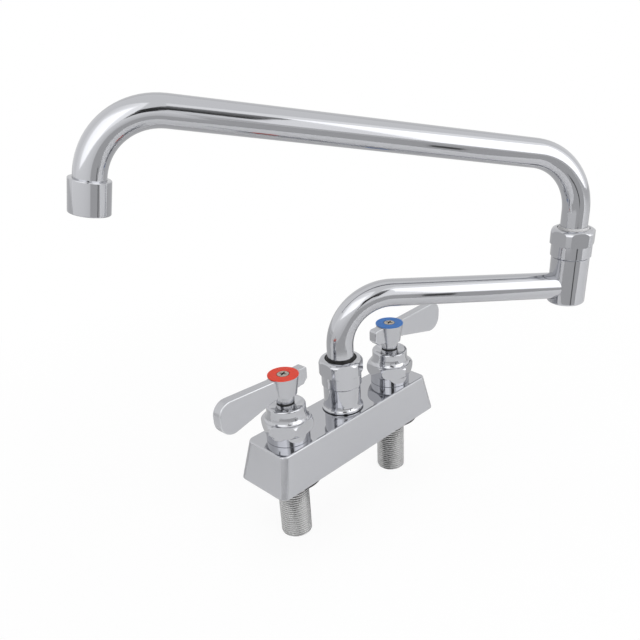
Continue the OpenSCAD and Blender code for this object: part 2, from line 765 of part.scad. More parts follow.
// The tube's cross-section; bent lengths are drawn a hair thinner than straight ones
module tube_section(shave = 0) {
    difference() {
        circle(r = tube_r - shave);
        circle(r = tube_bore_r + shave);
    }
}

// A straight length, which laps over the bent lengths at its ends
module straight_tube(h, lap_below = 0, lap_above = 0) {
    translate([0, 0, -lap_below]) linear_extrude(h + lap_below + lap_above) tube_section();
}

// A bend about a centre, in the XZ plane, from one angle clockwise; 180 starts upwards
module bent_tube(bend_r, x, z, start, turned) {
    translate([x, 0, z]) rotate([-90, 0, 0]) rotate([0, 0, -start])
        rotate_extrude(angle = turned) translate([bend_r, 0]) tube_section(bend_shave);
}

// The lower tube, from its foot to inside the joint's housing
module lower_tube() {
    foot_z = base_nut_z + flange_top;
    color("silver") at_lower_tube() difference() {
        union() {
            translate([0, 0, foot_z]) straight_tube(lower_bend_z - foot_z, 0, bend_lap);
            bent_tube(lower_bend_r, lower_bend_r, lower_bend_z, 180, 90 + lower_fall);
            translate([lower_end_x, 0, lower_end_z]) rotate([0, 90 + lower_fall, 0])
                straight_tube((lower_reach - lower_end_x) / cos(lower_fall), bend_lap);
        }
        translate([lower_reach, 0, housing_z]) cylinder(d = socket_bore_d, h = housing_h);
    }
}

module joint_housing() {
    housing_r = housing_d / 2;
    color("silver") difference() {
        union() {
            at_joint() translate([0, 0, housing_z]) rotate_extrude() polygon(concat(
                [[0, 0]],
                arc(housing_r - housing_edge_r, housing_edge_r, housing_edge_r, -90, 0, 6),
                [[housing_r, housing_h - nut_edge_r], [housing_r - nut_edge_r, housing_h], [0, housing_h]]));
            at_joint() translate([0, 0, joint_nut_z - cut]) cylinder(d = spigot_d, h = spigot_h + cut);
        }
        at_joint() translate([0, 0, joint_bore_bottom])
            cylinder(d = socket_bore_d, h = joint_nut_z + spigot_h - joint_bore_bottom + cut);
        at_lower_tube() translate([lower_end_x, 0, lower_end_z]) rotate([0, 90 + lower_fall, 0])
            cylinder(r = tube_r + seat_gap, h = (lower_reach - lower_end_x) / cos(lower_fall));
    }
}

// The upper tube, from its foot to its end in the aerator
module upper_tube() {
    foot_z = joint_nut_z + flange_top;
    color("silver") at_upper_tube() {
        translate([0, 0, foot_z]) straight_tube(upper_bend_z - foot_z, 0, bend_lap);
        bent_tube(upper_bend_r, upper_bend_r, upper_bend_z, 180, 90 - upper_climb);
        translate([upper_end_x, 0, upper_end_z]) rotate([0, 90 - upper_climb, 0])
            straight_tube((outlet_bend_x - upper_end_x) / cos(upper_climb), bend_lap, bend_lap);
        bent_tube(outlet_bend_r, outlet_centre_x, outlet_centre_z,
            90 + upper_climb, 90 + upper_climb - outlet_lean);
        translate([upper_reach, 0, outlet_z]) rotate([0, -outlet_lean, 0])
            translate([0, 0, -aerator_grip]) straight_tube(outlet_leg + aerator_grip, 0, bend_lap);
    }
}

// Aerator, counted down from its top

module aerator_shell() {
    color("silver") at_outlet() difference() {
        translate([0, 0, -aerator_l]) rotate_extrude() polygon(concat(
            [[0, 0]],
            arc(aerator_r - aerator_edge_r, aerator_edge_r, aerator_edge_r, -90, 0, 4),
            arc(aerator_r - aerator_edge_r, aerator_l - aerator_edge_r, aerator_edge_r, 0, 90, 4),
            [[0, aerator_l]]));
        translate([0, 0, -aerator_l - cut]) cylinder(r = aerator_bore_r - aerator_lip, h = aerator_l);
        translate([0, 0, -aerator_l + aerator_lip_h])
            cylinder(r = aerator_bore_r, h = aerator_l - aerator_lip_h - aerator_grip);
        translate([0, 0, -aerator_grip - cut]) cylinder(r = tube_r + seat_gap, h = aerator_grip + 2 * cut);
    }
}

module aerator_washer() {
    color("#202020") at_outlet()
        ring(aerator_bore_r - seat_gap, aerator_washer_r, -aerator_grip - aerator_washer_t, aerator_washer_t);
}

// A moulded insert with a jet plate, two rings of jets and an open skirt below
module aerator_insert() {
    color("white") at_outlet() difference() {
        translate([0, 0, insert_z]) cylinder(r = aerator_bore_r - seat_gap, h = insert_h);
        translate([0, 0, insert_z - cut])
            cylinder(r = aerator_bore_r - insert_wall, h = insert_h - insert_plate_t + cut);
        for (i = [0:jet_count - 1]) rotate([0, 0, i * 360 / jet_count]) {
            translate([outer_jet_r, 0, insert_z]) cylinder(d = outer_jet_d, h = aerator_l, $fn = jet_fn);
            translate([inner_jet_r, 0, insert_z]) cylinder(d = inner_jet_d, h = aerator_l, $fn = jet_fn);
        }
    }
}

// A flat screen of crossed bars in a rim
module aerator_screen() {
    r = aerator_bore_r - seat_gap;
    color("dimgray") at_outlet() translate([0, 0, -aerator_l + aerator_lip_h]) difference() {
        cylinder(r = r, h = screen_t);
        intersection() {
            translate([0, 0, -cut]) cylinder(r = r - screen_rim, h = screen_t + 2 * cut);
            for (x = [-3:3], y = [-3:3])
                translate([x * screen_pitch - screen_hole / 2, y * screen_pitch - screen_hole / 2, -cut])
                    cube([screen_hole, screen_hole, screen_t + 2 * cut]);
        }
    }
}

deck_body();
at_hot() shank();  // hot_shank
at_cold() shank();  // cold_shank
at_hot() gasket();  // hot_gasket
at_cold() gasket();  // cold_gasket
at_hot() bonnet(hot_bonnet_turn);  // hot_bonnet
at_cold() bonnet(cold_bonnet_turn);  // cold_bonnet
at_hot() cartridge(-1);  // hot_cartridge
at_cold() cartridge(1);  // cold_cartridge
at_hot() seat_washer();  // hot_seat_washer
at_cold() seat_washer();  // cold_seat_washer
at_hot() fixed_disc();  // hot_fixed_disc
at_cold() fixed_disc();  // cold_fixed_disc
hot_side() turning_disc();  // hot_turning_disc
cold_side() turning_disc();  // cold_turning_disc
hot_side() stem();  // hot_stem
cold_side() stem();  // cold_stem
hot_side() stem_seals();  // hot_stem_seals
cold_side() stem_seals();  // cold_stem_seals
hot_side() lever();  // hot_lever
cold_side() lever();  // cold_lever
hot_side() index_ring("#d8463a");  // hot_index
cold_side() index_ring("#3b6fb5");  // cold_index
hot_side() screw();  // hot_screw
cold_side() screw();  // cold_screw
spout_socket();
at_base_nut() swivel_nut(base_nut_turn);  // base_nut
at_base_nut() wear_ring();  // base_wear_ring
at_base_nut() swivel_foot();  // lower_foot
at_base_nut() swivel_seal();  // lower_seal
lower_tube();
joint_housing();
at_joint_nut() swivel_nut(joint_nut_turn);  // joint_nut
at_joint_nut() wear_ring();  // joint_wear_ring
at_joint_nut() swivel_foot();  // upper_foot
at_joint_nut() swivel_seal();  // upper_seal
upper_tube();
aerator_shell();
aerator_washer();
aerator_insert();
aerator_screen();
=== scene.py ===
"""Deck-mount faucet with a double-jointed swing spout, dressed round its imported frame."""

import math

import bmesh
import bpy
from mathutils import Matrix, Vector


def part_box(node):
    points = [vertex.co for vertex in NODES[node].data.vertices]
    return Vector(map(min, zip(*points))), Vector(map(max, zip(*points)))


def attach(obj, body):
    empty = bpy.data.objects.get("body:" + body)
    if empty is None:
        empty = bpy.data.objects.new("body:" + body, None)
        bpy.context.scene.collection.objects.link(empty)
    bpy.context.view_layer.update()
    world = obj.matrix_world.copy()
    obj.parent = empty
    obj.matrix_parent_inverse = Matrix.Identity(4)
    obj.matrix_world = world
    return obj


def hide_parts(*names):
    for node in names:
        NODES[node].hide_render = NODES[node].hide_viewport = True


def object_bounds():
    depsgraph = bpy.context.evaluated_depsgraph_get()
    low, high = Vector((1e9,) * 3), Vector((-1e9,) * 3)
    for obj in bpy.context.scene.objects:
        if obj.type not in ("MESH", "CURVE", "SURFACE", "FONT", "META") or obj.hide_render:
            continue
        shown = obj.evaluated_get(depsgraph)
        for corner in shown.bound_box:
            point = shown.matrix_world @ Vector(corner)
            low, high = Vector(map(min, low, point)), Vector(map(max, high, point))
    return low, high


bl_info = {
    "name": "Double-jointed deck faucet",
    "version": (1, 0, 0),
    "blender": (4, 5, 0),
    "location": "View3D > Sidebar > Faucet",
    "description": "Finishes, threads, levers and stage for a deck-mount faucet",
    "category": "Object",
}

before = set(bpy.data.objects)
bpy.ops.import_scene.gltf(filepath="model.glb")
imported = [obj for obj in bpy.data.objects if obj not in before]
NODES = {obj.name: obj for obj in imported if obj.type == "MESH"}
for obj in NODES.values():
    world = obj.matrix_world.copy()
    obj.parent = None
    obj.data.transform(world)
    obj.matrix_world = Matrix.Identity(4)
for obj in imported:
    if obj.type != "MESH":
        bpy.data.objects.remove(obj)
CAD_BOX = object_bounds()

MM = 0.001
# Points closer than this are one; the finer distance is for outlines that already meet
MERGED = 1e-6
EXACT = 1e-7
SENSOR_WIDTH = 36
PHOTO_WIDTH = 640
# The point that the lamps aim at and the cards stand round
MIDDLE = Vector((0.02, -0.02, 0.14))
SIDES = ("hot", "cold")
PLATED = (
    "hot_bonnet", "cold_bonnet", "spout_socket", "base_nut", "lower_tube",
    "joint_housing", "joint_nut", "upper_tube", "aerator_shell",
)
SPINDLES = ("hot_cartridge", "cold_cartridge", "hot_stem", "cold_stem")
SEALS = (
    "hot_seat_washer", "cold_seat_washer", "hot_stem_seals", "cold_stem_seals",
    "lower_seal", "upper_seal", "aerator_washer",
)
CERAMICS = ("hot_fixed_disc", "cold_fixed_disc", "hot_turning_disc", "cold_turning_disc")


class ChromeSettings(bpy.types.PropertyGroup):
    """Plated finishes."""

    colour: bpy.props.FloatVectorProperty(
        name="Chrome", description="Reflected colour of the plating",
        subtype="COLOR", size=3, min=0, max=1, default=(0.505, 0.511, 0.535))
    tube_roughness: bpy.props.FloatProperty(
        name="Tube roughness", description="Softness of reflections in tubes and nuts",
        subtype="FACTOR", min=0, max=1, default=0.075)
    casting_roughness: bpy.props.FloatProperty(
        name="Casting roughness", description="Softness of reflections in the body's sides",
        subtype="FACTOR", min=0, max=1, default=0.2)
    lever_roughness: bpy.props.FloatProperty(
        name="Lever roughness", description="Softness of reflections in the levers",
        subtype="FACTOR", min=0, max=1, default=0.2)
    lever_edge: bpy.props.FloatProperty(
        name="Lever edge", description="Radius that eases the edges of the levers",
        subtype="DISTANCE", unit="LENGTH", min=0.1 * MM, max=1.2 * MM, default=0.5 * MM)
    # Painted highlight: a lighter colour for the eased edges of the levers.
    painted_edge_highlight: bpy.props.FloatVectorProperty(
        name="Painted edge highlight", description="Reflected colour of the levers' buffed edges",
        subtype="COLOR", size=3, min=0, max=1, default=(0.62, 0.63, 0.655))


class ThreadSettings(bpy.types.PropertyGroup):
    """Inlet shanks and their pipe thread."""

    pitch: bpy.props.FloatProperty(
        name="Pitch", description="Distance from one thread to the next",
        subtype="DISTANCE", unit="LENGTH", min=1 * MM, max=4 * MM, default=25.4 / 14 * MM)
    depth: bpy.props.FloatProperty(
        name="Depth", description="Height of the thread",
        subtype="DISTANCE", unit="LENGTH", min=0.3 * MM, max=1.5 * MM, default=0.6 * MM)
    neck: bpy.props.FloatProperty(
        name="Neck radius", description="Radius of the smooth neck above the thread",
        subtype="DISTANCE", unit="LENGTH", min=8 * MM, max=10 * MM, default=9.8 * MM)
    bore: bpy.props.FloatProperty(
        name="Bore radius", description="Radius of the waterway through a shank",
        subtype="DISTANCE", unit="LENGTH", min=4 * MM, max=8 * MM, default=6.3 * MM)
    mouth: bpy.props.FloatProperty(
        name="Mouth", description="How far the lower mouth draws in from the thread's root",
        subtype="DISTANCE", unit="LENGTH", min=0.1 * MM, max=1 * MM, default=0.36 * MM)


class IndexSettings(bpy.types.PropertyGroup):
    """Index ring colours."""

    hot: bpy.props.FloatVectorProperty(
        name="Hot", description="Colour of the hot index ring",
        subtype="COLOR", size=3, min=0, max=1, default=(0.64, 0.038, 0.013))
    cold: bpy.props.FloatVectorProperty(
        name="Cold", description="Colour of the cold index ring",
        subtype="COLOR", size=3, min=0, max=1, default=(0.02, 0.145, 0.46))


class StageSettings(bpy.types.PropertyGroup):
    """Camera, floor and lamps."""

    eye: bpy.props.FloatVectorProperty(
        name="Eye", description="Place of the camera",
        subtype="TRANSLATION", unit="LENGTH", size=3, default=(-0.28713, -0.28656, 0.26303))
    yaw: bpy.props.FloatProperty(
        name="Yaw", description="Turn of the camera from +Y",
        subtype="ANGLE", default=math.radians(-47.06))
    pitch: bpy.props.FloatProperty(
        name="Pitch", description="Tilt of the camera, up positive",
        subtype="ANGLE", default=math.radians(-27.6))
    roll: bpy.props.FloatProperty(
        name="Roll", description="Roll of the camera",
        subtype="ANGLE", default=math.radians(-1.81))
    lens: bpy.props.FloatProperty(
        name="Lens", description="Focal length in millimetres", min=20, max=120,
        default=673.73 * SENSOR_WIDTH / PHOTO_WIDTH)
    shift: bpy.props.FloatVectorProperty(
        name="Shift", description="Shift of the lens for the photograph's crop",
        size=2, default=(-0.066, 0.085))


def settings(group):
    """One of the property groups, from the scene."""
    return getattr(bpy.context.scene, group)


# Materials

def material(name, colour, metallic, roughness, **sockets):
    """A material with plain values on its shader's own sockets."""
    mat = bpy.data.materials.new(name)
    mat.use_nodes = True
    shader = mat.node_tree.nodes["Principled BSDF"]
    shader.inputs["Base Color"].default_value = (*colour, 1)
    shader.inputs["Metallic"].default_value = metallic
    shader.inputs["Roughness"].default_value = roughness
    for socket, value in sockets.items():
        shader.inputs[socket.replace("_", " ")].default_value = value
    return mat


def pattern(mat, scale, detail=3.0, stretch=(1, 1, 1)):
    """A noise on Object coordinates; the scale counts per metre, times a stretch per axis."""
    nodes, links = mat.node_tree.nodes, mat.node_tree.links
    mapping = nodes.new("ShaderNodeMapping")
    mapping.inputs["Scale"].default_value = stretch
    noise = nodes.new("ShaderNodeTexNoise")
    noise.inputs["Scale"].default_value = scale
    noise.inputs["Detail"].default_value = detail
    links.new(object_place(mat), mapping.inputs["Vector"])
    links.new(mapping.outputs["Vector"], noise.inputs["Vector"])
    return noise.outputs["Fac"]


def spread(owner, source, low, high, start=0.3, end=0.7):
    """Maps a source, from start to end, to a range of values; a noise needs no start or end."""
    node = owner.node_tree.nodes.new("ShaderNodeMapRange")
    node.inputs["From Min"].default_value = start
    node.inputs["From Max"].default_value = end
    node.inputs["To Min"].default_value = low
    node.inputs["To Max"].default_value = high
    owner.node_tree.links.new(source, node.inputs["Value"])
    return node.outputs["Result"]


def shader_input(mat, socket):
    """A socket of the material's shader."""
    return mat.node_tree.nodes["Principled BSDF"].inputs[socket]


def vector_step(mat, operation, source, second=None):
    """One vector operation on a socket, with a second vector where it takes one."""
    step = mat.node_tree.nodes.new("ShaderNodeVectorMath")
    step.operation = operation
    mat.node_tree.links.new(source, step.inputs[0])
    if second is not None:
        step.inputs[1].default_value = second
    return step.outputs


def from_two(tree, operation, first, second):
    """One number from two sockets."""
    step = tree.nodes.new("ShaderNodeMath")
    step.operation = operation
    tree.links.new(first, step.inputs[0])
    tree.links.new(second, step.inputs[1])
    return step.outputs[0]


def object_place(mat):
    """The Object coordinates that the patterns and tones are laid on."""
    return mat.node_tree.nodes.new("ShaderNodeTexCoord").outputs["Object"]


def two_tones(mat, factor, first, second):
    """Mixes two colours into the shader's base colour."""
    tone = mat.node_tree.nodes.new("ShaderNodeMix")
    tone.data_type = "RGBA"
    mat.node_tree.links.new(factor, tone.inputs["Factor"])
    tone.inputs["A"].default_value = (*first, 1)
    tone.inputs["B"].default_value = (*second, 1)
    mat.node_tree.links.new(tone.outputs["Result"], shader_input(mat, "Base Color"))


def uneven_roughness(mat, noise, low, high):
    """Lets the roughness wander between two values."""
    mat.node_tree.links.new(spread(mat, noise, low, high), shader_input(mat, "Roughness"))


def bumps(mat, *layers):
    """Adds bump layers, each a height source with its strength and depth in metres."""
    nodes, links = mat.node_tree.nodes, mat.node_tree.links
    before = None
    for height, strength, depth in layers:
        bump = nodes.new("ShaderNodeBump")
        bump.inputs["Strength"].default_value = strength
        bump.inputs["Distance"].default_value = depth
        links.new(height, bump.inputs["Height"])
        if before:
            links.new(before, bump.inputs["Normal"])
        before = bump.outputs["Normal"]
    links.new(before, shader_input(mat, "Normal"))


def bright_chrome():
    """Polished plating over drawn tube and turned brass, with a faint ripple."""
    chrome = settings("faucet_chrome")
    mat = material("bright_chrome", chrome.colour, 1, chrome.tube_roughness)
    rough = chrome.tube_roughness
    uneven_roughness(mat, pattern(mat, 38, 4), rough * 0.7, rough * 1.4)
    bumps(mat,
          (pattern(mat, 55, 1), 0.25, 0.1 * MM),
          (pattern(mat, 900, 2), 0.04, 0.02 * MM))
    return mat


# How far a face of the body has to look up to be polished to a mirror
MIRROR_FACING = (0.93, 0.99)


def casting_chrome():
    """Plating over a buffed casting: soft sides with polishing streaks, a mirror on top."""
    chrome = settings("faucet_chrome")
    mat = material("casting_chrome", chrome.colour, 1, chrome.casting_roughness)
    nodes, links = mat.node_tree.nodes, mat.node_tree.links
    streaks = spread(mat, pattern(mat, 60, 5, (0.35, 1, 2.2)),
                     chrome.casting_roughness * 0.85, chrome.casting_roughness * 1.15)
    facing = nodes.new("ShaderNodeNewGeometry")
    up = nodes.new("ShaderNodeSeparateXYZ")
    links.new(facing.outputs["True Normal"], up.inputs["Vector"])
    top = spread(mat, up.outputs["Z"], 0, 1, *MIRROR_FACING)
    mix = nodes.new("ShaderNodeMix")
    mix.data_type = "FLOAT"
    links.new(top, mix.inputs["Factor"])
    links.new(streaks, mix.inputs["A"])
    mix.inputs["B"].default_value = chrome.tube_roughness * 0.5
    links.new(mix.outputs["Result"], shader_input(mat, "Roughness"))
    bumps(mat,
          (pattern(mat, 26, 1), 0.2, 0.15 * MM),
          (pattern(mat, 420, 3, (0.3, 1, 1)), 0.05, 0.01 * MM))
    return mat


def lever_chrome():
    """Plating over a die-cast lever, a little softer than the tubes, with a painted highlight
    in a lighter colour on its eased edges.
    """
    chrome = settings("faucet_chrome")
    mat = material("lever_chrome", chrome.colour, 1, chrome.lever_roughness)
    rough = chrome.lever_roughness
    # Painted highlight: faces tagged on the eased edges take the lighter colour.
    edge = mat.node_tree.nodes.new("ShaderNodeAttribute")
    edge.attribute_name = "painted_highlight"
    two_tones(mat, edge.outputs["Fac"], chrome.colour, chrome.painted_edge_highlight)
    uneven_roughness(mat, pattern(mat, 90, 4, (0.5, 1, 1.5)), rough * 0.75, rough * 1.25)
    bumps(mat,
          (pattern(mat, 45, 1), 0.2, 0.12 * MM),
          (pattern(mat, 700, 2), 0.05, 0.01 * MM))
    return mat


def shank_metal():
    """Dull plating on a cut thread, with painted shade that darkens its grooves."""
    crest_tone, groove_painted_shade = (0.54, 0.54, 0.54), (0.15, 0.15, 0.15)
    mat = material("shank_metal", crest_tone, 1, 0.26)
    low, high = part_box("cold_shank")
    axis_x, wall_r = (low.x + high.x) / 2, (high.x - low.x) / 2
    one_side = vector_step(mat, "ABSOLUTE", object_place(mat))["Vector"]
    from_axis = vector_step(mat, "SUBTRACT", one_side, (axis_x, 0, 0))["Vector"]
    level = vector_step(mat, "MULTIPLY", from_axis, (1, 1, 0))["Vector"]
    reach = vector_step(mat, "LENGTH", level)["Value"]
    depth = settings("faucet_thread").depth
    # Painted shade: the colour darkens from the crest down to the thread's root.
    crest = spread(mat, reach, 0, 1, wall_r - depth, wall_r)
    two_tones(mat, crest, groove_painted_shade, crest_tone)
    uneven_roughness(mat, pattern(mat, 300, 2), 0.22, 0.32)
    bumps(mat, (pattern(mat, 1200, 2), 0.05, 0.01 * MM))
    return mat


# Squeezes a noise into level rings, as a lathe leaves them
TURNING = (0.1, 0.1, 4)


def spindle_metal():
    """Bright turned metal of the cartridges and stems, with fine turning rings."""
    mat = material("spindle_metal", (0.72, 0.725, 0.74), 1, 0.12)
    uneven_roughness(mat, pattern(mat, 300, 3, TURNING), 0.08, 0.18)
    bumps(mat, (pattern(mat, 600, 2, TURNING), 0.15, 0.03 * MM))
    return mat


def turned_brass():
    """Bare brass with fine turning rings."""
    mat = material("turned_brass", (0.62, 0.45, 0.2), 1, 0.3)
    uneven_roughness(mat, pattern(mat, 300, 3, TURNING), 0.22, 0.4)
    bumps(mat, (pattern(mat, 600, 2, TURNING), 0.15, 0.05 * MM))
    return mat


def black_rubber():
    """Matte black rubber with a faint bloom."""
    mat = material("black_rubber", (0.012, 0.012, 0.012), 0, 0.65, Specular_IOR_Level=0.3)
    uneven_roughness(mat, pattern(mat, 350, 4), 0.5, 0.8)
    bumps(mat, (pattern(mat, 900, 3), 0.25, 0.08 * MM))
    return mat


def ring_plastic(name, colour):
    """A moulded wear ring, slightly glossy."""
    mat = material(name, colour, 0, 0.3, Specular_IOR_Level=0.2)
    uneven_roughness(mat, pattern(mat, 420, 3), 0.22, 0.42)
    bumps(mat, (pattern(mat, 700, 2), 0.1, 0.05 * MM))
    return mat


def lapped_ceramic():
    """White ceramic with a lapped face."""
    mat = material("lapped_ceramic", (0.86, 0.85, 0.82), 0, 0.2)
    uneven_roughness(mat, pattern(mat, 500, 3), 0.12, 0.3)
    return mat


def insert_plastic():
    """White moulded plastic of the aerator's insert."""
    mat = material("insert_plastic", (0.8, 0.8, 0.79), 0, 0.45)
    uneven_roughness(mat, pattern(mat, 400, 3), 0.38, 0.55)
    bumps(mat, (pattern(mat, 900, 2), 0.1, 0.04 * MM))
    return mat


def index_plastic(name, colour):
    """Glossy coloured plastic with a little wear."""
    mat = material(name, colour, 0, 0.35, Specular_IOR_Level=0.2)
    uneven_roughness(mat, pattern(mat, 300, 4), 0.28, 0.45)
    bumps(mat, (pattern(mat, 800, 2), 0.08, 0.03 * MM))
    return mat


def screw_steel():
    """Warm stainless steel of the small screws, with painted shade darkening the inside of each
    head's cross-shaped hollow.
    """
    steel, recess_painted_shade = (0.44, 0.4, 0.35), (0.02, 0.02, 0.02)
    mat = material("screw_steel", steel, 1, 0.3)
    nodes, links = mat.node_tree.nodes, mat.node_tree.links
    uneven_roughness(mat, pattern(mat, 600, 3), 0.24, 0.38)
    height = nodes.new("ShaderNodeSeparateXYZ")
    links.new(object_place(mat), height.inputs["Vector"])
    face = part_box("hot_screw")[1].z
    # Painted shade: below the head's face the colour turns near black.
    dark_from, bright_from = face - 0.3 * MM, face - 0.1 * MM
    metal = spread(mat, height.outputs["Z"], 0, 1, dark_from, bright_from)
    two_tones(mat, metal, recess_painted_shade, steel)
    bumps(mat, (pattern(mat, 1200, 2), 0.1, 0.02 * MM))
    return mat


def screen_wire():
    """Bright wire of the aerator's screen."""
    mat = material("screen_wire", (0.6, 0.6, 0.59), 1, 0.22)
    uneven_roughness(mat, pattern(mat, 600, 3), 0.16, 0.34)
    return mat


def finish_nodes(names, mat):
    """Gives CAD nodes one finish."""
    for name in names:
        mesh = NODES[name].data
        mesh.materials.clear()
        mesh.materials.append(mat)


# Meshes

def crease(bm, smooth_angle):
    """Marks the edges over an angle as sharp, and the borders of the eased bands that carry the
    painted highlight.
    """
    painted_highlight = bm.faces.layers.float.get("painted_highlight")
    for edge in bm.edges:
        bands = {face[painted_highlight] for face in edge.link_faces} if painted_highlight else {0}
        if len(bands) > 1:
            edge.smooth = False
        elif 1 not in bands:
            edge.smooth = edge.calc_face_angle(0) <= math.radians(smooth_angle)


def piece_from(name, bm, mat, smooth_angle=30):
    """Makes a finished piece from a bmesh in metres, smooth below an angle."""
    bmesh.ops.remove_doubles(bm, verts=bm.verts, dist=EXACT)
    bmesh.ops.recalc_face_normals(bm, faces=bm.faces)
    for face in bm.faces:
        face.smooth = True
    crease(bm, smooth_angle)
    mesh = bpy.data.meshes.new(name)
    bm.to_mesh(mesh)
    bm.free()
    mesh.materials.append(mat)
    piece = bpy.data.objects.new(name, mesh)
    bpy.context.scene.collection.objects.link(piece)
    return piece


def put_in_order(bm):
    """Orders edges and faces by their vertices, since a spin leaves their order to chance."""
    bm.verts.index_update()
    for parts in (bm.edges, bm.faces):
        ordered = sorted(parts, key=lambda part: sorted(v.index for v in part.verts))
        for place, part in enumerate(ordered):
            part.index = place
        parts.sort()


def spin_outline(bm, points, steps, centre=(0, 0, 0), climb=(0, 0, 0)):
    """Spins an open outline of (radius, z) once round the Z axis through a centre."""
    x, y, z = centre
    chain = [bm.verts.new((x + r, y, z + h)) for r, h in points]
    edges = [bm.edges.new(pair) for pair in zip(chain, chain[1:])]
    bmesh.ops.spin(
        bm, geom=chain + edges, cent=centre, axis=(0, 0, 1), dvec=climb,
        angle=math.tau, steps=steps, use_merge=not any(climb))
    put_in_order(bm)


class FAUCET_OT_plated_pieces(bpy.types.Operator):
    """Gives the tubes, nuts, bonnets, column, housing and aerator their bright plating"""

    bl_idname = "faucet.plated_pieces"
    bl_label = "Plated pieces"

    def execute(self, context):
        finish_nodes(PLATED, bright_chrome())
        finish_nodes(("deck_body",), casting_chrome())
        return {"FINISHED"}


# How far from the index ring the hub ends and the eased edges start
HUB_RIM = 1.2 * MM
# Edges over this angle are eased, in this many steps
EASED_ANGLE = 35
EASED_STEPS = 5
# Creases over this angle stay crisp, and faces within the smaller one become a single face
LEVER_CREASE = 14
LEVEL_ANGLE = 0.5


def eased_lever(side, mat):
    """The lever with its cast edges eased, made from a merged copy of its solid.

    Both sides of the hub get a cut across the casting, past which the edges are eased.
    """
    node = NODES[side + "_lever"]
    bm = bmesh.new()
    bm.from_mesh(node.data)
    bm.transform(node.matrix_world)
    painted_highlight = bm.faces.layers.float.new("painted_highlight")
    bmesh.ops.remove_doubles(bm, verts=bm.verts, dist=MERGED)
    bmesh.ops.dissolve_limit(
        bm, angle_limit=math.radians(LEVEL_ANGLE), use_dissolve_boundaries=False,
        verts=bm.verts, edges=bm.edges)
    low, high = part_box(side + "_index")
    pivot = (low + high) / 2
    hub_r = (high.x - low.x) / 2 + HUB_RIM
    for away in (-1, 1):
        bmesh.ops.bisect_plane(
            bm, geom=bm.verts[:] + bm.edges[:] + bm.faces[:], dist=MERGED,
            plane_co=(pivot.x + away * hub_r, 0, 0), plane_no=(1, 0, 0))

    def off_hub(edge):
        return min(abs(v.co.x - pivot.x) for v in edge.verts) > hub_r - 10 * MERGED

    sharp = [e for e in bm.edges if e.is_manifold and off_hub(e)
             and e.calc_face_angle() > math.radians(EASED_ANGLE)]
    eased = bmesh.ops.bevel(
        bm, geom=sharp, offset=settings("faucet_chrome").lever_edge, segments=EASED_STEPS,
        offset_type="OFFSET", profile=0.5, affect="EDGES", material=-1, clamp_overlap=True)
    # The eased faces are tagged for the painted highlight.
    for face in eased["faces"]:
        face[painted_highlight] = 1
    return piece_from(side + "_eased_lever", bm, mat, LEVER_CREASE)


class FAUCET_OT_levers(bpy.types.Operator):
    """Eases the edges of both levers"""

    bl_idname = "faucet.levers"
    bl_label = "Levers"

    def execute(self, context):
        mat = lever_chrome()
        for side in SIDES:
            lever = eased_lever(side, mat)
            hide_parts(side + "_lever")
            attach(lever, side + "_handle")
        return {"FINISHED"}


class FAUCET_OT_inner_pieces(bpy.types.Operator):
    """Gives the cartridges, stems, seals, discs and rings their finishes"""

    bl_idname = "faucet.inner_pieces"
    bl_label = "Inner pieces"

    def execute(self, context):
        finish_nodes(SPINDLES, spindle_metal())
        finish_nodes(("lower_foot", "upper_foot"), turned_brass())
        finish_nodes(SEALS + ("hot_gasket", "cold_gasket"), black_rubber())
        finish_nodes(("base_wear_ring",), ring_plastic("black_ring", (0.006, 0.006, 0.006)))
        finish_nodes(("joint_wear_ring",), ring_plastic("pale_ring", (0.5, 0.5, 0.51)))
        finish_nodes(CERAMICS, lapped_ceramic())
        finish_nodes(("aerator_insert",), insert_plastic())
        finish_nodes(("aerator_screen",), screen_wire())
        return {"FINISHED"}


class FAUCET_OT_index_rings(bpy.types.Operator):
    """Colours the index rings and finishes their screws"""

    bl_idname = "faucet.index_rings"
    bl_label = "Index rings"

    def execute(self, context):
        index = settings("faucet_index")
        finish_nodes(("hot_index",), index_plastic("index_red", index.hot))
        finish_nodes(("cold_index",), index_plastic("index_blue", index.cold))
        finish_nodes(("hot_screw", "cold_screw"), screw_steel())
        return {"FINISHED"}


SHANK_STEPS = 96
SHANK_CREASE = 35
# The flat crest of the thread, as shares of its pitch
CREST = (0.28, 0.72)
# Height of the neck's lower end, just under the gasket
NECK_END = -3 * MM
# How far the thread stays from the mouth and from the neck
THREAD_START = 0.5 * MM
THREAD_END = 0.2 * MM


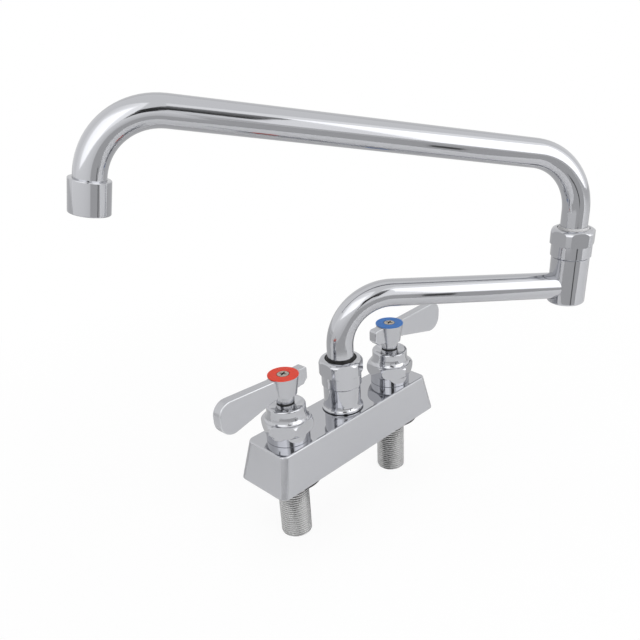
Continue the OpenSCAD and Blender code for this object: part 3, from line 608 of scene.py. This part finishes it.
def threaded_shank(name, centre, top, bottom, wall_r, mat):
    """A hollow shank with a helical thread below its smooth neck.

    The thread is spun a turn past both ends, cut off level, and joined to the plain rings.
    """
    thread = settings("faucet_thread")
    pitch, depth = thread.pitch, thread.depth
    root_r = wall_r - depth
    thread_low, thread_high = bottom + THREAD_START, NECK_END - THREAD_END
    turns = math.ceil((NECK_END - bottom) / pitch) + 2
    start = bottom - pitch
    outline = []
    for turn in range(turns):
        z = start + turn * pitch
        outline += [(root_r, z)] + [(wall_r, z + share * pitch) for share in CREST]
    outline.append((root_r, start + turns * pitch))
    bm = bmesh.new()
    spin_outline(bm, outline, SHANK_STEPS, centre, (0, 0, pitch / SHANK_STEPS))
    bmesh.ops.remove_doubles(bm, verts=bm.verts, dist=MERGED)
    for z, away in ((thread_low, -1), (thread_high, 1)):
        bmesh.ops.bisect_plane(
            bm, geom=bm.verts[:] + bm.edges[:] + bm.faces[:], dist=EXACT,
            plane_co=(0, 0, z), plane_no=(0, 0, away), clear_outer=True)
    rims = [e for e in bm.edges if e.is_boundary]
    low = [e for e in rims if e.verts[0].co.z < (bottom + NECK_END) / 2]
    high = [e for e in rims if e not in low]

    def ring(radius, z):
        made = bmesh.ops.create_circle(bm, cap_ends=False, radius=radius, segments=SHANK_STEPS)
        bmesh.ops.translate(bm, vec=(centre[0], centre[1], z), verts=made["verts"])
        return list(dict.fromkeys(e for v in made["verts"] for e in v.link_edges))

    mouth = ring(root_r - thread.mouth, bottom)
    inner_low = ring(thread.bore, bottom)
    inner_high = ring(thread.bore, top)
    neck_high = ring(thread.neck, top)
    neck_low = ring(thread.neck, thread_high)
    for pair in ((low, mouth), (mouth, inner_low), (inner_low, inner_high),
                 (inner_high, neck_high), (neck_high, neck_low), (neck_low, high)):
        bmesh.ops.bridge_loops(bm, edges=pair[0] + pair[1])
    return piece_from(name, bm, mat, SHANK_CREASE)


class FAUCET_OT_inlet_shanks(bpy.types.Operator):
    """Cuts the pipe thread on both inlet shanks"""

    bl_idname = "faucet.inlet_shanks"
    bl_label = "Inlet shanks"

    def execute(self, context):
        mat = shank_metal()
        for side in SIDES:
            low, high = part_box(side + "_shank")
            centre = ((low.x + high.x) / 2, (low.y + high.y) / 2, 0)
            wall_r = (high.x - low.x) / 2
            shank = threaded_shank(side + "_threaded_shank", centre, high.z, low.z, wall_r, mat)
            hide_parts(side + "_shank")
            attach(shank, "deck")
        return {"FINISHED"}


# Stage

def aim(place, target):
    """A place that looks down its -Z axis at a target."""
    turn = (Vector(target) - Vector(place)).to_track_quat("-Z", "Y")
    return Matrix.Translation(place) @ turn.to_matrix().to_4x4()


def area_lamp(name, place, size, glow):
    """A soft lamp on the faucet that the plating doesn't show; glow is its brightness."""
    data = bpy.data.lights.new(name, "AREA")
    data.shape, data.size, data.size_y = "RECTANGLE", size[0], size[1]
    data.energy = glow * math.pi * size[0] * size[1]
    lamp = bpy.data.objects.new(name, data)
    lamp.matrix_world = aim(place, MIDDLE)
    lamp.visible_glossy = False
    bpy.context.scene.collection.objects.link(lamp)


def seen_white(tree):
    """1 for rays from the camera, a mirror or glass, and 0 for the rest."""
    ray = tree.nodes.new("ShaderNodeLightPath").outputs
    direct = from_two(tree, "MAXIMUM", ray["Is Camera Ray"], ray["Is Glossy Ray"])
    return from_two(tree, "MAXIMUM", direct, ray["Is Transmission Ray"])


FLOOR_REACH = 12
FLOOR_GAP = 0.2 * MM


def make_floor():
    """A pale floor just under the shanks."""
    bm = bmesh.new()
    bmesh.ops.create_grid(bm, x_segments=1, y_segments=1, size=FLOOR_REACH)
    bmesh.ops.translate(bm, vec=(0, 0, CAD_BOX[0].z - FLOOR_GAP), verts=bm.verts)
    mesh = bpy.data.meshes.new("floor")
    bm.to_mesh(mesh)
    bm.free()
    floor = bpy.data.objects.new("floor", mesh)
    bpy.context.scene.collection.objects.link(floor)
    mesh.materials.append(floor_finish())


def floor_finish():
    """Pale and matte near the faucet, white away from it, and nothing from below."""
    mat = material("pale_floor", (0.88, 0.88, 0.88), 0, 0.9, Specular_IOR_Level=0)
    tree = mat.node_tree
    nodes, links = tree.nodes, tree.links
    away = vector_step(mat, "LENGTH", object_place(mat))["Value"]
    # Shares of white near and far, then the distances between which the share grows
    in_view = spread(mat, away, 0.92, 1, 0.2, 0.5)
    mirrored = spread(mat, away, 0, 0.4, 0.3, 0.9)
    ray = nodes.new("ShaderNodeLightPath").outputs
    seen = from_two(tree, "ADD", from_two(tree, "MULTIPLY", ray["Is Camera Ray"], in_view),
                    from_two(tree, "MULTIPLY", ray["Is Glossy Ray"], mirrored))
    white = nodes.new("ShaderNodeEmission")
    lit = nodes.new("ShaderNodeMixShader")
    links.new(seen, lit.inputs["Fac"])
    links.new(nodes["Principled BSDF"].outputs["BSDF"], lit.inputs[1])
    links.new(white.outputs["Emission"], lit.inputs[2])
    clear = nodes.new("ShaderNodeBsdfTransparent")
    side = nodes.new("ShaderNodeNewGeometry")
    mix = nodes.new("ShaderNodeMixShader")
    links.new(side.outputs["Backfacing"], mix.inputs["Fac"])
    links.new(lit.outputs["Shader"], mix.inputs[1])
    links.new(clear.outputs["BSDF"], mix.inputs[2])
    links.new(mix.outputs["Shader"], nodes["Material Output"].inputs["Surface"])
    return mat


def reflected_card(name, bm, tones, along, start, end):
    """A card that only the plating shows, toned from one end of a direction to the other."""
    mesh = bpy.data.meshes.new(name)
    bm.to_mesh(mesh)
    bm.free()
    card = bpy.data.objects.new(name, mesh)
    bpy.context.scene.collection.objects.link(card)
    card.visible_camera = card.visible_diffuse = card.visible_shadow = False
    mat = bpy.data.materials.new(name)
    mat.use_nodes = True
    nodes, links = mat.node_tree.nodes, mat.node_tree.links
    nodes.remove(nodes["Principled BSDF"])
    reach = vector_step(mat, "DOT_PRODUCT", object_place(mat), along)["Value"]
    tone = nodes.new("ShaderNodeEmission")
    links.new(spread(mat, reach, *tones, start, end), tone.inputs["Strength"])
    links.new(tone.outputs["Emission"], nodes["Material Output"].inputs["Surface"])
    mesh.materials.append(mat)


CARD_STEPS = 24
CARD_LIFT = 1 * MM


def floor_card(name, bearing, angle, radii, tone):
    """A sector of a ring that lies on the floor, from a bearing in degrees."""
    turn = Matrix.Rotation(math.radians(bearing), 3, "Z")
    bm = bmesh.new()
    height = CAD_BOX[0].z + CARD_LIFT
    near, far = (bm.verts.new(turn @ Vector((r, 0, height))) for r in radii)
    edge = bm.edges.new((near, far))
    bmesh.ops.spin(bm, geom=[near, far, edge], cent=(0, 0, 0), axis=(0, 0, 1),
                   angle=math.radians(angle), steps=CARD_STEPS)
    reflected_card(name, bm, (tone, tone), (0, 0, 1), 0, 1)


def upright_card(name, bearing, away, corners, tones, climbs=None):
    """A card across a bearing in degrees, of (sideways, height) corners in metres.

    Its tones run sideways, or upwards between two heights.
    """
    turn = math.radians(bearing)
    out = Vector((math.cos(turn), math.sin(turn), 0))
    side = Vector((-out.y, out.x, 0))
    base = MIDDLE * Vector((1, 1, 0)) + away * out
    bm = bmesh.new()
    loop = [bm.verts.new(base + u * side + Vector((0, 0, z))) for u, z in corners]
    edges = [bm.edges.new(pair) for pair in zip(loop, loop[1:] + loop[:1])]
    bmesh.ops.edgeloop_fill(bm, edges=edges)
    if climbs:
        reflected_card(name, bm, tones, (0, 0, 1), *climbs)
    else:
        ends = [base.dot(side) + pick(u for u, z in corners) for pick in (min, max)]
        reflected_card(name, bm, tones, side, *ends)


def panel(half, top, bottom=-0.04):
    """The corners of an upright rectangle."""
    return ((-half, bottom), (half, bottom), (half, top), (-half, top))


def make_cards():
    """What the plating shows: a table, windows, a sill, a wall, a dark screen and a lamp stand.

    Upright cards: bearing, distance, corners, the tones at both ends, and the heights
    between which they climb. Floor cards: bearing, angle, radii and tone. All in metres
    and degrees.
    """
    floor_card("table_end", 187, 96, (0.25, 1.4), 0.58)
    floor_card("table_back", -15, 155, (0.1, 1.3), 0.64)
    upright_card("window_glow", 283, 6.6, panel(5.5, 11), (1.25, 1.4))
    upright_card("window", 282.5, 6, panel(2.8, 6.6), (2.0, 2.3))
    upright_card("left_glow", 184, 6.6, panel(6.2, 14.8), (1.05, 1.5))
    upright_card("left_halo", 190, 6.3, panel(3.6, 8.2, 0.2), (1.35, 1.65))
    upright_card("left_window", 193, 6, panel(2.6, 6.5, 0.9), (1.75, 2.1))
    upright_card("left_sill", 188, 0.45, panel(0.36, 0.235), (0.8, 1.1), (0, 0.235))
    upright_card("far_wall", 45, 5, panel(4.2, 7.5), (0.86, 0.86))
    upright_card("dark_screen", 245, 1.5, (
        (-0.57, 0.06), (-0.457, 0.034), (-0.387, 0.225), (-0.347, 0.44), (-0.239, 0.604),
        (-0.133, 0.546), (-0.067, 0.505), (0.012, 0.747), (0.092, 1), (0.187, 1.223),
        (0.297, 1.535), (-0.041, 1.494), (-0.226, 1.248), (-0.443, 0.916), (-0.585, 0.835),
        (-0.585, 0.364)), (0.05, 0.4), (0.75, 1.5))
    upright_card("lamp_stand", 263, 0.33, panel(0.018, 0.06), (0.1, 0.1))


def make_world():
    """White to the camera and to metal, and a dimmer even light for the rest."""
    world = bpy.data.worlds.new("studio")
    bpy.context.scene.world = world
    world.use_nodes = True
    background = world.node_tree.nodes["Background"]
    background.inputs["Color"].default_value = (1, 1, 1, 1)
    even_light, white = 0.55, 1
    strength = spread(world, seen_white(world.node_tree), even_light, white, 0, 1)
    world.node_tree.links.new(strength, background.inputs["Strength"])


def make_camera():
    """The photograph's view: turned from +Y, tilted, rolled, and shifted for its crop."""
    stage = settings("faucet_stage")
    yaw, pitch, roll = stage.yaw, stage.pitch, stage.roll
    forward = Vector((-math.sin(yaw) * math.cos(pitch), math.cos(yaw) * math.cos(pitch),
                      math.sin(pitch)))
    level = Vector((math.cos(yaw), math.sin(yaw), 0))
    above = level.cross(forward)
    right = math.cos(roll) * level + math.sin(roll) * above
    up = math.cos(roll) * above - math.sin(roll) * level
    turn = Matrix((right, up, -forward)).transposed()
    data = bpy.data.cameras.new("camera")
    data.sensor_width, data.lens = SENSOR_WIDTH, stage.lens
    data.shift_x, data.shift_y = stage.shift
    data.clip_start, data.clip_end = 0.01, 60
    camera = bpy.data.objects.new("camera", data)
    camera.matrix_world = Matrix.Translation(stage.eye) @ turn.to_4x4()
    bpy.context.scene.collection.objects.link(camera)
    bpy.context.scene.camera = camera


class FAUCET_OT_stage(bpy.types.Operator):
    """Sets the camera, the pale floor, the lamps and the background"""

    bl_idname = "faucet.stage"
    bl_label = "Stage"

    def execute(self, context):
        make_camera()
        make_floor()
        make_cards()
        make_world()
        area_lamp("key", (-0.1, -1.15, 0.66), size=(1.15, 1.1), glow=2.4)
        area_lamp("overhead", (0.02, 0.05, 1.4), size=(1.3, 1.3), glow=1.4)
        context.scene.view_settings.view_transform = "Standard"
        return {"FINISHED"}


class FAUCET_PT_panel(bpy.types.Panel):
    """Buttons and settings of the faucet"""

    bl_idname = "FAUCET_PT_panel"
    bl_label = "Deck faucet"
    bl_space_type = "VIEW_3D"
    bl_region_type = "UI"
    bl_category = "Faucet"

    def draw(self, context):
        for operator in OPERATORS:
            self.layout.operator(operator.bl_idname)
        for group, kind in GROUPS.items():
            for name in kind.__annotations__:
                self.layout.prop(getattr(context.scene, group), name)


GROUPS = {
    "faucet_chrome": ChromeSettings,
    "faucet_thread": ThreadSettings,
    "faucet_index": IndexSettings,
    "faucet_stage": StageSettings,
}
OPERATORS = (
    FAUCET_OT_stage,
    FAUCET_OT_plated_pieces,
    FAUCET_OT_levers,
    FAUCET_OT_inner_pieces,
    FAUCET_OT_index_rings,
    FAUCET_OT_inlet_shanks,
)
CLASSES = (*GROUPS.values(), *OPERATORS, FAUCET_PT_panel)


def register():
    for cls in CLASSES:
        bpy.utils.register_class(cls)
    for group, kind in GROUPS.items():
        setattr(bpy.types.Scene, group, bpy.props.PointerProperty(type=kind))


def unregister():
    for group in GROUPS:
        delattr(bpy.types.Scene, group)
    for cls in reversed(CLASSES):
        bpy.utils.unregister_class(cls)


def main():
    register()
    for operator in OPERATORS:
        group, name = operator.bl_idname.split(".")
        getattr(getattr(bpy.ops, group), name)()


if __name__ == "__main__":
    main()
